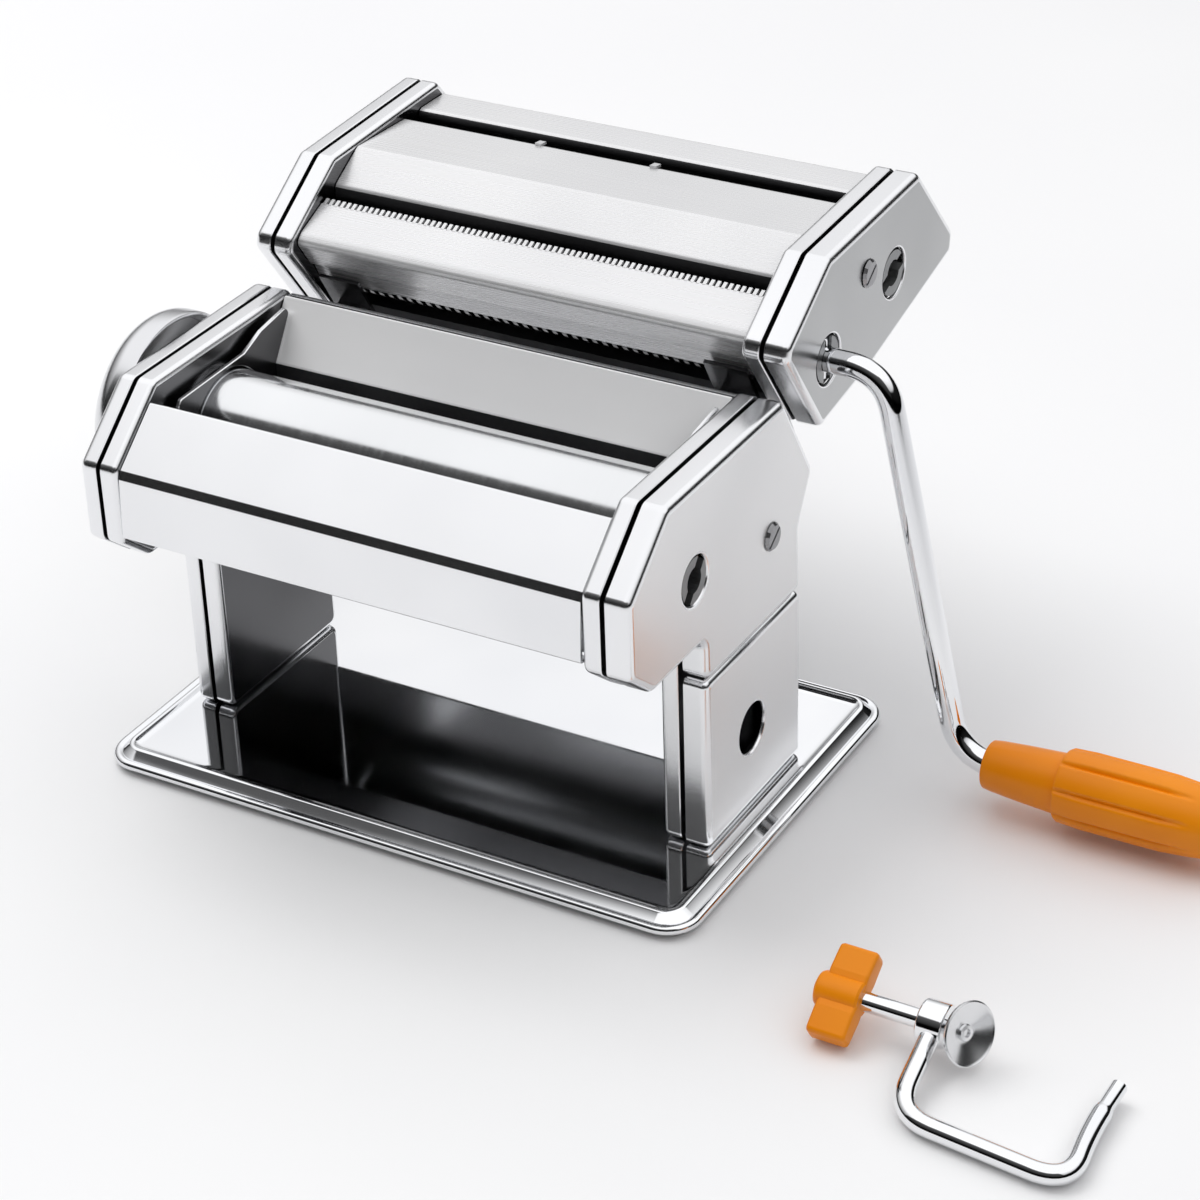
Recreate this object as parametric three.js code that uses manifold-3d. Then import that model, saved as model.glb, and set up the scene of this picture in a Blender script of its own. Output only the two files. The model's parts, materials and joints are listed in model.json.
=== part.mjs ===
// Hand-cranked pasta roller machine: a sheet-metal stand with two smooth rollers, a lift-off
// head with two pairs of cutting rollers, a crank and a table clamp.
// Millimetres, +Z up. X runs along the rollers, -Y is the front, Z = 0 is the table.
import * as THREE from 'three';
import { mergeVertices } from 'three/addons/utils/BufferGeometryUtils.js';
import Module from 'manifold-3d';

const wasm = await Module();
wasm.setup();

// ---- Driving dimensions -------------------------------------------------------------------

const GAP = 0.3; // between pieces that touch on the real machine
const SHEET = 1.0; // panels
const PLATE = 1.2; // side frames and covers

// Both cheeks are built in the same planes, given here as distances from the middle of X.
const PANEL_END = 75.7; // panels and tie bars stop here
const GUIDE_IN = 72.6; // inner face of the plates that keep the dough off the cheeks
const FRAME_IN = 76.0; // inner face of a side frame
const FRAME_OUT = 82.3; // edge of its flange
const COVER_IN = 82.7; // edge of a cover's flange
const COVER_OUT = { right: 91, left: 89 }; // outer face of a cover
const SIDES = { right: 1, left: -1 };

// Side outlines as [y, z], anticlockwise seen from +X.
const HEAD_SEAM_Z = 62.5; // the head cover meets the leg cover here
const LEG_BOTTOM = 5.8;
const LEG_FRONT = -30;
const LEG_BACK = 29;
const HEAD_OUTLINE = [
  [LEG_FRONT, HEAD_SEAM_Z + 0.3], [LEG_BACK, HEAD_SEAM_Z + 0.3], [28.2, 83.6], [37, 99],
  [19, 128.5], [-50, 128.5], [-72, 110], [-72, 86.5], [-60, 76.5], [LEG_FRONT, 76.5],
];
const LEG_OUTLINE = [
  [LEG_FRONT, LEG_BOTTOM], [LEG_BACK, LEG_BOTTOM], [LEG_BACK, HEAD_SEAM_Z - 0.2], [LEG_FRONT, HEAD_SEAM_Z - 0.2],
];
const BODY_OUTLINE = [
  [LEG_FRONT, LEG_BOTTOM], [LEG_BACK, LEG_BOTTOM], ...HEAD_OUTLINE.slice(2),
];
const CUTTER_OUTLINE = [
  [42, 108.8], [76.5, 114], [131.5, 127.5], [132.5, 134.5], [107.2, 163], [47, 160.3],
  [21.4, 143.6], [20, 139.5],
];

// Base plate
const BASE_SIZE = [202, 136];
const BASE_X = 2; // the base stands a little further out on the crank side
const BASE_CORNER = 11;

// Smooth rollers: the back one lies below and behind the front one, and moves towards it.
const ROLLER_R = 17.5;
const ROLLER_END = 75.2;
const NIP_ANGLE = -Math.PI / 4;
const WIDEST = 37.2; // distance between the axes at the widest setting
const CLOSEST = 35.2; // and at the thinnest one
const FRONT_ROLLER = [-21, 101.5];
const BACK_ROLLER = along(FRONT_ROLLER, NIP_ANGLE, WIDEST);
const BACK_ROLLER_CLOSED = along(FRONT_ROLLER, NIP_ANGLE, CLOSEST);
const JOURNAL_R = 5;
const ROLLER_GEAR = { teeth: 12, distance: CLOSEST, tip: 20.3, backlash: 0.4 };
const ROLLER_GEAR_X = [80.4, 84];

// Crank pinion
const PINION = [-35.4, 98.9];
const PINION_GEAR = { teeth: 10, distance: 14.63, tip: 8.55, backlash: 0.4 };
const PINION_X = [84.5, 87.6];
const SOCKET_R = 7; // hub that takes the end of the crank
const SOCKET_BORE = 4.05;
const SOCKET_HOLE = 7.7; // hole in a cover round a socket
const SOCKET_END = 90.6;
const SLOT = [15, 4.2]; // cross slot in a socket

// Cutting rollers, in two pairs on one sloping line
const CUTTER_R = 9.6;
const CUTTER_SPACING = 19.6;
const CUTTER_SLOPE = 0.199;
const NARROW_DRIVEN = [46.5, 129];
const WIDE_DRIVEN = [90.1, 137.8];
const CUTTER_GEAR = { teeth: 12, distance: CUTTER_SPACING, tip: 10.9, backlash: 0.4 };
const CUTTER_GEAR_X = [78, 83];
const CUTTER_JOURNAL_R = 4.5;

// Thickness setting: a spiral cam lets the back roller's blocks move in by 2 mm in 288 degrees.
const CAM_R = 12;
const CAM_DROP = WIDEST - CLOSEST;
const CAM_TURN = 1.6 * Math.PI;
const CAM_X = [80.6, 83.4];
const CAM_SHAFT_R = 4.5;
const CAM_SHAFT_END = 105;
const CAM_PIN_R = 3;
const KNOB_X = 90.6;
const KNOB_DEPTH = 18.4;
const KNOB_R = 31;

// Crank: [x, distance from its axis], in a plane 5 degrees forward of straight down
const CRANK_R = 3.75;
const CRANK_THROW = 115.5;
const CRANK_LEAN = THREE.MathUtils.degToRad(5);
const CRANK_PATH = [[84.9, 0], [108.7, 0], [139.2, CRANK_THROW], [222, CRANK_THROW]];
const CRANK_BEND = 9.5; // how far each side of a corner the bend reaches
const CRANK_PIN_X = 88.7;
const GRIP_X = [148.8, 226];
const GRIP_R = 11.5;

// Table clamp, lying flat in front of the crank side
const CLAMP_AXIS = [-78, 10.6];
const CLAMP_ROD_R = 2.9;
const CLAMP_PATH = [
  [184, -81, 9.9], [186, -108, 3.2], [236, -113, 3.2], [233, -91, 3.2], [233.5, -73, 4.4],
];
const CLAMP_BEND = 9; // as for the crank
const CLAMP_EYE_X = [180, 187.5];
const CLAMP_SCREW_R = 2.75;
const CLAMP_SCREW_X = [153.5, 189.8];
const CLAMP_PAD_X = 191.5; // where the pad's back meets the screw's axis
const CLAMP_PAD_FACING = [0.887, -0.346, 0.3058]; // the pad is loose on the screw and lies askew
const CLAMP_KNOB_X = [151.5, 163];
const CLAMP_KNOB_TILT = THREE.MathUtils.degToRad(32);

// ---- Materials ----------------------------------------------------------------------------

const metal = (color, roughness) => new THREE.MeshStandardMaterial({ color, roughness, metalness: 1 });
const plastic = (color, roughness) => new THREE.MeshStandardMaterial({ color, roughness, metalness: 0 });
const CHROME = metal(0xdfe1e4, 0.08);
const BRUSHED = metal(0xc4c4c6, 0.32);
const STEEL = metal(0xa9abad, 0.35);
const ZINC = metal(0x8f9194, 0.45);
const BLACK_PLASTIC = plastic(0x1c1c1e, 0.5);
const RUBBER = plastic(0x151516, 0.85);
const ORANGE = plastic(0xd9820a, 0.35);

// ---- Shape helpers ------------------------------------------------------------------------

// A point at a distance and angle from another, in the side plane [y, z].
function along([y, z], angle, distance) {
  return [y + Math.cos(angle) * distance, z + Math.sin(angle) * distance];
}

function shapeOf(points) {
  return new THREE.Shape(points.map(([u, v]) => new THREE.Vector2(u, v)));
}

// Outlines are drawn as [y, z] and extruded along +X.
const SIDE_PLANE = new THREE.Matrix4().makeBasis(
  new THREE.Vector3(0, 1, 0), new THREE.Vector3(0, 0, 1), new THREE.Vector3(1, 0, 0));

function prism(outline, from, to) {
  const geometry = new THREE.ExtrudeGeometry(shapeOf(outline), { depth: to - from, bevelEnabled: false });
  return geometry.applyMatrix4(SIDE_PLANE).translate(from, 0, 0);
}

// A prism whose far edge is rounded off: it is bevelled at both ends, and the near end is cut away.
function roundedPrism(outline, from, to, radius) {
  const bevel = { bevelThickness: radius, bevelSize: radius, bevelOffset: -radius, bevelSegments: 2 };
  const geometry = new THREE.ExtrudeGeometry(shapeOf(outline), { depth: to - from, ...bevel });
  geometry.applyMatrix4(SIDE_PLANE).translate(from - radius, 0, 0);
  return cut(geometry, boxAt([from - 2 * radius, -200, -200], [from, 400, 400]));
}

function boxAt([x0, y0, z0], [x1, y1, z1]) {
  const geometry = new THREE.BoxGeometry(x1 - x0, y1 - y0, z1 - z0);
  return geometry.translate((x0 + x1) / 2, (y0 + y1) / 2, (z0 + z1) / 2);
}

// A rod along X, centred on [y, z].
function rod([y, z], radius, from, to, sides = 20) {
  const geometry = new THREE.CylinderGeometry(radius, radius, to - from, sides);
  return geometry.rotateZ(-Math.PI / 2).translate((from + to) / 2, y, z);
}

// A turned piece about the X-parallel line through [y, z]; the profile is [x, radius] with x rising.
function turned([y, z], profile, sides = 24) {
  const points = profile.map(([x, radius]) => new THREE.Vector2(radius, x));
  return new THREE.LatheGeometry(points, sides).rotateZ(-Math.PI / 2).translate(0, y, z);
}

// A bent rod through corner points; each bend starts and ends `bend` from its corner.
function bentRod(corners, radius, bend, steps, sides = 8) {
  const path = new THREE.CurvePath();
  let from = corners[0];
  for (let i = 1; i < corners.length - 1; i += 1) {
    const reach = Math.min(bend, corners[i].distanceTo(corners[i - 1]) / 2, corners[i].distanceTo(corners[i + 1]) / 2);
    const before = corners[i].clone().lerp(corners[i - 1], reach / corners[i].distanceTo(corners[i - 1]));
    const after = corners[i].clone().lerp(corners[i + 1], reach / corners[i].distanceTo(corners[i + 1]));
    path.add(new THREE.LineCurve3(from, before));
    path.add(new THREE.QuadraticBezierCurve3(before, corners[i], after));
    from = after;
  }
  path.add(new THREE.LineCurve3(from, corners.at(-1)));
  const section = new THREE.Shape(new THREE.Path().absarc(0, 0, radius, 0, 2 * Math.PI).getPoints(sides / 2));
  return new THREE.ExtrudeGeometry(section, { steps, extrudePath: path });
}

function toSolid(geometry) {
  const bare = geometry.clone();
  bare.deleteAttribute('normal');
  bare.deleteAttribute('uv');
  const merged = mergeVertices(bare, 1e-4);
  return new wasm.Manifold(new wasm.Mesh({
    numProp: 3,
    vertProperties: new Float32Array(merged.attributes.position.array),
    triVerts: new Uint32Array(merged.index.array),
  }));
}

function toGeometry(solid) {
  const { vertProperties, triVerts } = solid.getMesh();
  const geometry = new THREE.BufferGeometry();
  geometry.setAttribute('position', new THREE.BufferAttribute(vertProperties, 3));
  geometry.setIndex(new THREE.BufferAttribute(triVerts, 1));
  return geometry;
}

function cut(base, ...tools) {
  return toGeometry(tools.reduce((solid, tool) => solid.subtract(toSolid(tool)), toSolid(base)));
}

function join(base, ...others) {
  return toGeometry(others.reduce((solid, other) => solid.add(toSolid(other)), toSolid(base)));
}

// Where two lines meet, each given by a point and a direction.
function crossing([ay, az], [au, av], [by, bz], [bu, bv]) {
  const t = ((by - ay) * bv - (bz - az) * bu) / (au * bv - av * bu);
  return [ay + au * t, az + av * t];
}

// The lines through each edge of a run of points, moved to its left by a distance.
function movedEdges(points, distance) {
  return points.slice(1).map(([y, z], i) => {
    const direction = [y - points[i][0], z - points[i][1]];
    const length = Math.hypot(...direction);
    const start = [points[i][0] - direction[1] / length * distance, points[i][1] + direction[0] / length * distance];
    return { start, direction, length };
  });
}

// A closed outline moved inwards by a distance.
function inset(outline, distance) {
  const edges = movedEdges([...outline, outline[0]], distance);
  return edges.map((edge, i) => {
    const last = edges.at(i - 1);
    return crossing(last.start, last.direction, edge.start, edge.direction);
  });
}

// Folded sheet: the run of points is its outer face, walked with the sheet on the left.
function sheetOutline(points, thickness) {
  const edges = movedEdges(points, thickness);
  const inner = edges.slice(1).map((edge, i) => crossing(edges[i].start, edges[i].direction, edge.start, edge.direction));
  const last = edges.at(-1);
  const end = [last.start[0] + last.direction[0], last.start[1] + last.direction[1]];
  return [...points, end, ...inner.reverse(), edges[0].start];
}

function foldedSheet(points, from = -PANEL_END, to = PANEL_END, thickness = SHEET) {
  return prism(sheetOutline(points, thickness), from, to);
}

// Involute gear outline about the origin, with a tooth pointing at the given angle.
function gearOutline({ teeth, distance, tip, backlash }, phase) {
  const pressure = THREE.MathUtils.degToRad(25);
  const pitch = distance / 2;
  const base = pitch * Math.cos(pressure);
  const root = distance - tip - 0.35;
  const involute = (angle) => Math.tan(angle) - angle;
  const halfAtPitch = Math.PI / (2 * teeth) - backlash / (4 * pitch);
  const half = (radius) => halfAtPitch + involute(pressure) - involute(Math.acos(Math.min(1, base / radius)));
  const radii = [root, (base + tip) / 2, tip];
  const outline = [];
  for (let tooth = 0; tooth < teeth; tooth += 1) {
    const middle = phase + (tooth * 2 * Math.PI) / teeth;
    radii.forEach((radius) => outline.push(along([0, 0], middle - half(radius), radius)));
    [...radii].reverse().forEach((radius) => outline.push(along([0, 0], middle + half(radius), radius)));
  }
  return outline;
}

function gear(spec, centre, towards, meshing, [from, to]) {
  const facing = Math.atan2(towards[1] - centre[1], towards[0] - centre[0]);
  const phase = facing + (meshing ? Math.PI / spec.teeth : 0);
  return prism(gearOutline(spec, phase), from, to).translate(0, centre[0], centre[1]);
}

// ---- Scene graph --------------------------------------------------------------------------

const machine = new THREE.Group();

function place(name, geometry, material, parent = machine) {
  const mesh = new THREE.Mesh(geometry, material);
  mesh.name = name;
  parent.add(mesh);
  return mesh;
}

// The same piece for both cheeks: made for the right one, mirrored for the left one.
function placeOnSide(name, side, geometry, material) {
  if (side === 'left') {
    geometry = toGeometry(toSolid(geometry).mirror([1, 0, 0]));
  }
  place(`${name}_${side}`, geometry, material);
}

// A shallow pan: a plate at `plate` with a flange round it that reaches to `edge`.
function pan(outline, plate, edge) {
  const outwards = edge > plate;
  const cavity = outwards ? [plate + PLATE, edge + 1] : [edge - 1, plate - PLATE];
  return cut(
    prism(outline, Math.min(plate, edge), Math.max(plate, edge)),
    prism(inset(outline, SHEET), ...cavity),
  );
}

// A cover with a softened outer edge; openEdge is a box where its flange is left out.
function cover(outline, side, openEdge) {
  const face = COVER_OUT[side];
  const shell = cut(roundedPrism(outline, COVER_IN, face, 2), prism(inset(outline, SHEET), COVER_IN - 1, face - PLATE));
  return openEdge ? cut(shell, openEdge) : shell;
}

// ---- Stand --------------------------------------------------------------------------------

function roundedRectangle(width, depth, radius) {
  const shape = new THREE.Shape();
  const [u, v] = [width / 2 - radius, depth / 2 - radius];
  shape.absarc(u, v, radius, 0, Math.PI / 2);
  shape.absarc(-u, v, radius, Math.PI / 2, Math.PI);
  shape.absarc(-u, -v, radius, Math.PI, Math.PI * 1.5);
  shape.absarc(u, -v, radius, Math.PI * 1.5, Math.PI * 2);
  return shape;
}

function baseSlab(inwards, from, to) {
  const [width, depth] = BASE_SIZE;
  const shape = roundedRectangle(width - 2 * inwards, depth - 2 * inwards, Math.max(3, BASE_CORNER - inwards));
  const geometry = new THREE.ExtrudeGeometry(shape, { depth: to - from, bevelEnabled: false, curveSegments: 4 });
  return geometry.translate(BASE_X, 0, from);
}

const UNDERPLATE = { inwards: 4, bottom: 1.7, top: 2.7 };
const FOOT = { x: 86, y: 53, flange: 7.5, stem: 3.5 };

function footPlaces() {
  return [['front_right', 1, -1], ['front_left', -1, -1], ['back_right', 1, 1], ['back_left', -1, 1]]
    .map(([name, right, back]) => ({ name, x: BASE_X + right * FOOT.x, y: back * FOOT.y }));
}

function standing(radius, from, to, { x, y }, sides = 18) {
  const geometry = new THREE.CylinderGeometry(radius, radius, to - from, sides);
  return geometry.rotateX(Math.PI / 2).translate(x, y, (from + to) / 2);
}

function buildBase() {
  const rim = join(baseSlab(0, 1.5, 4.4), baseSlab(3.2, 4, 6.6));
  const hollow = [baseSlab(1.2, 1, 3.4), baseSlab(4.4, 3.3, 4.4), baseSlab(7.5, 5.5, 7)];
  place('base_plate', cut(rim, ...hollow), CHROME);
  const pad = boxAt([-30, -20, 1], [30, 20, 2]);
  const stems = footPlaces().map((spot) => standing(FOOT.stem + GAP, 1, 3, spot));
  const plate = join(baseSlab(UNDERPLATE.inwards, UNDERPLATE.bottom, UNDERPLATE.top), pad);
  place('base_underplate', cut(plate, ...stems), ZINC);
  footPlaces().forEach((spot) => {
    const foot = join(standing(FOOT.flange, 0, 1.4, spot), standing(FOOT.stem, 1, 4, spot));
    place(`foot_${spot.name}`, foot, RUBBER);
  });
}

// ---- Main body ----------------------------------------------------------------------------

const CLAMP_HOLE = { centre: [-2.2, 31.9], radius: 8 };
const COVER_SCREW = [10, 89.6];
const TIE_BAR = [-58, 96];

function journalSlot() {
  const reach = [-0.4, CAM_DROP + 0.4].map((move) => along(BACK_ROLLER, NIP_ANGLE, -move));
  const wide = JOURNAL_R + 0.5;
  const middle = along(BACK_ROLLER, NIP_ANGLE, -CAM_DROP / 2);
  const length = CAM_DROP + 0.8;
  const flat = boxAt([FRAME_IN - 1, -length / 2, -wide], [FRAME_OUT, length / 2, wide]);
  flat.rotateX(NIP_ANGLE).translate(0, ...middle);
  return [flat, ...reach.map((end) => rod(end, wide, FRAME_IN - 1, FRAME_OUT))];
}

function buildCheek(side) {
  const hasClampHole = side === 'right';
  const clampHole = rod(CLAMP_HOLE.centre, CLAMP_HOLE.radius, 70, 95, 24);
  const bushHole = rod(FRONT_ROLLER, 7.3, 70, 80, 24);
  const frameCuts = [bushHole, ...journalSlot(), ...(hasClampHole ? [clampHole] : [])];
  placeOnSide('side_frame', side, cut(pan(BODY_OUTLINE, FRAME_IN, FRAME_OUT), ...frameCuts), CHROME);

  const openBottom = boxAt([80, LEG_FRONT + SHEET, 60], [COVER_OUT[side] - PLATE, LEG_BACK - SHEET, 68]);
  const head = cover(HEAD_OUTLINE, side, openBottom);
  if (side === 'right') {
    const collar = cut(rod(PINION, 9.2, 88, 90, 24), rod(PINION, SOCKET_HOLE - 0.35, 87, 91, 24));
    const holes = [rod(PINION, SOCKET_HOLE - 0.35, 87, 95, 24), rod(COVER_SCREW, 2.4, 88, 95, 16)];
    placeOnSide('head_cover', side, cut(join(head, collar), ...holes), CHROME);
  } else {
    placeOnSide('head_cover', side, cut(head, rod(FRONT_ROLLER, 6.5, 85, 95, 24)), CHROME);
  }

  const openTop = boxAt([80, LEG_FRONT + SHEET, 55], [COVER_OUT[side] - PLATE, LEG_BACK - SHEET, 66]);
  const leg = cover(LEG_OUTLINE, side, openTop);
  placeOnSide('leg_cover', side, hasClampHole ? cut(leg, clampHole) : leg, CHROME);

  const bush = cut(
    join(rod(FRONT_ROLLER, 7, ROLLER_END + 0.4, 79.6, 16), rod(FRONT_ROLLER, 9, 77.5, 79.6, 16)),
    rod(FRONT_ROLLER, JOURNAL_R + GAP, 70, 85, 16),
  );
  placeOnSide('roller_bush', side, bush, BLACK_PLASTIC);
}

// A dished screw head with its shank, pointing out of a cover.
function screw(centre, face, shankR) {
  const profile = [[face - 7, 0], [face - 7, shankR], [face + GAP, shankR], [face + GAP, 4.4], [face + 1.2, 3.6], [face + 1.2, 0]];
  const slot = boxAt([face + 0.8, -5, -0.5], [face + 2, 5, 0.5]).rotateX(0.6).translate(0, ...centre);
  return cut(turned(centre, profile, 16), slot);
}

const FEED_PLATE = [[15.5, 127.5], [4.7, 111], [4.7, 95.8]];
const FRONT_PANEL = [[-48.5, 118.8], [-53, 123.8], [-69.9, 109.5], [-71.1, 107.1], [-72.3, 88.5], [-68, 87.5]];
const REAR_PANEL = [[27.5, 21.5], [27.5, 84], [35.5, 99.5], [19.5, 127]];

function buildPanels() {
  place('front_panel', foldedSheet(FRONT_PANEL), CHROME);
  place('feed_plate', foldedSheet(FEED_PLATE), BRUSHED);
  place('rear_panel', foldedSheet(REAR_PANEL), CHROME);
  place('front_tie_bar', rod(TIE_BAR, 3.5, -PANEL_END, PANEL_END, 16), STEEL);
  place('front_scraper', foldedSheet([[-46, 79.6], [-22.8, 83.2]], -PANEL_END, PANEL_END, 0.6), STEEL);
  place('rear_scraper', foldedSheet([[6, 50.5], [-7.6, 62.2]], -PANEL_END, PANEL_END, 0.6), STEEL);
}

function buildSideGuide(side) {
  const outline = [[-3.4, 92], [4.2, 94], [4.2, 111.1], [12.8, 124.2], [11.4, 126.3], [-2, 124.4], [-11, 121],
    [-43, 120.4], [-44.5, 118.6], [-44.5, 110], [-36, 105]];
  const clear = ROLLER_R + 0.6;
  const rollers = [FRONT_ROLLER, BACK_ROLLER, BACK_ROLLER_CLOSED].map((centre) => rod(centre, clear, 60, 80, 40));
  placeOnSide('side_guide', side, cut(prism(outline, GUIDE_IN, PANEL_END), ...rollers), STEEL);
}

// ---- Smooth rollers and their gears -------------------------------------------------------

function buildRollers() {
  const smooth = (centre, leftEnd, rightEnd) => turned(centre, [
    [leftEnd, 0], [leftEnd, JOURNAL_R], [-ROLLER_END, JOURNAL_R], [-ROLLER_END, ROLLER_R],
    [ROLLER_END, ROLLER_R], [ROLLER_END, JOURNAL_R], [rightEnd, JOURNAL_R], [rightEnd, 0],
  ], 30);
  place('front_roller', smooth(FRONT_ROLLER, -80.2, 88.6), STEEL);
  place('rear_roller', smooth(BACK_ROLLER, -80.2, 84.2), STEEL);

  const bore = (centre) => rod(centre, JOURNAL_R + GAP, 70, 95);
  const wheel = gear(ROLLER_GEAR, FRONT_ROLLER, BACK_ROLLER, false, ROLLER_GEAR_X);
  const small = gear(PINION_GEAR, FRONT_ROLLER, PINION, false, [ROLLER_GEAR_X[1] - 0.5, PINION_X[1] - GAP]);
  place('front_roller_gear', cut(join(wheel, small), bore(FRONT_ROLLER)), ZINC);
  const mate = gear(ROLLER_GEAR, BACK_ROLLER, FRONT_ROLLER, true, ROLLER_GEAR_X);
  place('rear_roller_gear', cut(mate, bore(BACK_ROLLER)), ZINC);

  const pinion = join(
    gear(PINION_GEAR, PINION, FRONT_ROLLER, true, PINION_X),
    rod(PINION, SOCKET_R, PINION_X[1], SOCKET_END, 24),
  );
  place('crank_pinion', cut(pinion, ...socketCuts(PINION, PINION_X[0] - 1, 87.9, 0.9)), ZINC);
}

// The bore and cross slot that take the end of the crank.
function socketCuts(centre, boreFrom, slotFrom, angle) {
  const [length, width] = SLOT;
  const slot = boxAt([slotFrom, -length / 2, -width / 2], [95, length / 2, width / 2]);
  return [rod(centre, SOCKET_BORE, boreFrom, 95, 16), slot.rotateX(angle).translate(0, ...centre)];
}

// Sliding blocks that carry the back roller; the left one has the arm and pin that ride on the cam.
function buildBearingBlocks() {
  const [from, to] = [77.6, 80.1];
  const slab = (start, end, half) => {
    const geometry = boxAt([from, start, -half], [to, end, half]);
    return geometry.rotateX(NIP_ANGLE).translate(0, ...BACK_ROLLER);
  };
  const bore = rod(BACK_ROLLER, JOURNAL_R + GAP, 70, 90);
  placeOnSide('bearing_block', 'right', cut(slab(-12, 12, 9), bore), BLACK_PLASTIC);
  const pinAt = along(FRONT_ROLLER, NIP_ANGLE, CAM_R + GAP + CAM_PIN_R);
  const arm = slab(-(WIDEST - CAM_R - 2 * CAM_PIN_R), 0, 4);
  const pin = rod(pinAt, CAM_PIN_R, from, CAM_X[1], 16);
  placeOnSide('bearing_block', 'left', cut(join(slab(-12, 12, 9), arm, pin), bore), BLACK_PLASTIC);
}

// ---- Thickness setting --------------------------------------------------------------------

function camOutline() {
  const steps = 24;
  const outline = [];
  for (let i = 0; i <= steps; i += 1) {
    const part = i / steps;
    outline.push(along([0, 0], NIP_ANGLE + part * CAM_TURN, CAM_R - part * CAM_DROP));
  }
  return outline;
}

function dome(rim, depth, radius, segments) {
  return Array.from({ length: segments + 1 }, (_, i) => {
    const angle = (i / segments) * (Math.PI / 2);
    return [rim + depth * Math.sin(angle), radius * Math.cos(angle)];
  });
}

function buildThicknessSetting() {
  const disc = prism(camOutline(), ...CAM_X).translate(0, ...FRONT_ROLLER);
  const shaft = rod(FRONT_ROLLER, CAM_SHAFT_R, CAM_X[1] - 0.5, CAM_SHAFT_END, 16);
  const cam = toSolid(join(disc, shaft)).mirror([1, 0, 0]);
  place('thickness_cam', toGeometry(cam), ZINC);

  const skirt = 6;
  const outer = [[KNOB_X, 0], [KNOB_X, KNOB_R - 1], [KNOB_X + 1, KNOB_R],
    ...dome(KNOB_X + skirt, KNOB_DEPTH - skirt, KNOB_R, 6)];
  const inner = [[KNOB_X - 1, 0], [KNOB_X - 1, KNOB_R - 2], ...dome(KNOB_X + skirt, KNOB_DEPTH - skirt - 2, KNOB_R - 2, 4)];
  outer[outer.length - 1][1] = 0;
  inner[inner.length - 1][1] = 0;
  const shell = cut(turned(FRONT_ROLLER, outer, 24), turned(FRONT_ROLLER, inner, 24));
  const hub = rod(FRONT_ROLLER, 7.5, KNOB_X + 1, KNOB_X + KNOB_DEPTH - 1.5, 16);
  const bore = rod(FRONT_ROLLER, CAM_SHAFT_R + GAP, KNOB_X - 1, CAM_SHAFT_END + 1, 16);
  const knob = toSolid(cut(join(shell, hub), bore)).mirror([1, 0, 0]);
  place('thickness_knob', toGeometry(knob), CHROME);
}

// ---- Cutter head --------------------------------------------------------------------------

const CUTTER_DIRECTION = Math.atan(CUTTER_SLOPE);
const PAIRS = [
  { name: 'narrow', driven: NARROW_DRIVEN, mate: along(NARROW_DRIVEN, CUTTER_DIRECTION, CUTTER_SPACING) },
  { name: 'wide', driven: WIDE_DRIVEN, mate: along(WIDE_DRIVEN, CUTTER_DIRECTION, CUTTER_SPACING) },
];
const CUTTER_SCREW = [72.2, 145.3];

function buildCutterCheek(side) {
  const axes = PAIRS.flatMap(({ driven, mate }) => [driven, mate]);
  const journals = axes.map((centre) => rod(centre, CUTTER_JOURNAL_R + GAP, 70, 80));
  placeOnSide('cutter_frame', side, cut(pan(CUTTER_OUTLINE, FRAME_IN, FRAME_OUT), ...journals), CHROME);
  const shell = cover(CUTTER_OUTLINE, side);
  if (side === 'right') {
    const sockets = PAIRS.map(({ driven }) => rod(driven, SOCKET_HOLE, 85, 95, 24));
    placeOnSide('cutter_cover', side, cut(shell, ...sockets, rod(CUTTER_SCREW, 2.4, 85, 95, 16)), CHROME);
  } else {
    placeOnSide('cutter_cover', side, shell, CHROME);
  }
}

function buildCutterPair({ name, driven, mate }) {
  const roller = (centre, rightEnd) => turned(centre, [
    [-80.2, 0], [-80.2, CUTTER_JOURNAL_R], [-ROLLER_END, CUTTER_JOURNAL_R], [-ROLLER_END, CUTTER_R],
    [ROLLER_END, CUTTER_R], [ROLLER_END, CUTTER_JOURNAL_R], [rightEnd, CUTTER_JOURNAL_R], [rightEnd, 0],
  ], 20);
  place(`${name}_cutter`, roller(driven, 83.2), STEEL);
  place(`${name}_cutter_mate`, roller(mate, 83.2), STEEL);
  const bore = (centre) => rod(centre, CUTTER_JOURNAL_R + GAP, 70, 83.6);
  const drive = join(
    gear(CUTTER_GEAR, driven, mate, false, CUTTER_GEAR_X),
    rod(driven, SOCKET_R, CUTTER_GEAR_X[1] - 0.5, SOCKET_END, 24),
  );
  place(`${name}_drive_gear`, cut(drive, bore(driven), ...socketCuts(driven, 84.4, 86.6, SLOT_ANGLE[name])), ZINC);
  place(`${name}_mate_gear`, cut(gear(CUTTER_GEAR, mate, driven, true, CUTTER_GEAR_X), bore(mate)), ZINC);

  // Comb: two blades that strip the strands off the rollers, joined at their ends.
  const blades = [1, -1].map((mirror) => {
    const blade = [[14, 18], [14, 14], [4.9, 10.2]].map(([a, b]) => combPoint(driven, mirror * a, b));
    return foldedSheet(mirror > 0 ? blade.toReversed() : blade, -PANEL_END, PANEL_END, -SHEET);
  });
  const ends = [[-PANEL_END, -PANEL_END + 1.5], [PANEL_END - 1.5, PANEL_END]].map(([from, to]) => {
    const corners = [[-14, 18], [14, 18], [14, 13.6], [-14, 13.6]].map(([a, b]) => combPoint(driven, a, b));
    return prism(corners, from, to);
  });
  place(`${name}_comb`, join(...blades, ...ends), BRUSHED);
}

// The slot in the narrow socket lies across the crank's pin.
const SLOT_ANGLE = { narrow: Math.PI / 2 - CRANK_LEAN, wide: 0.35 };

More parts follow.
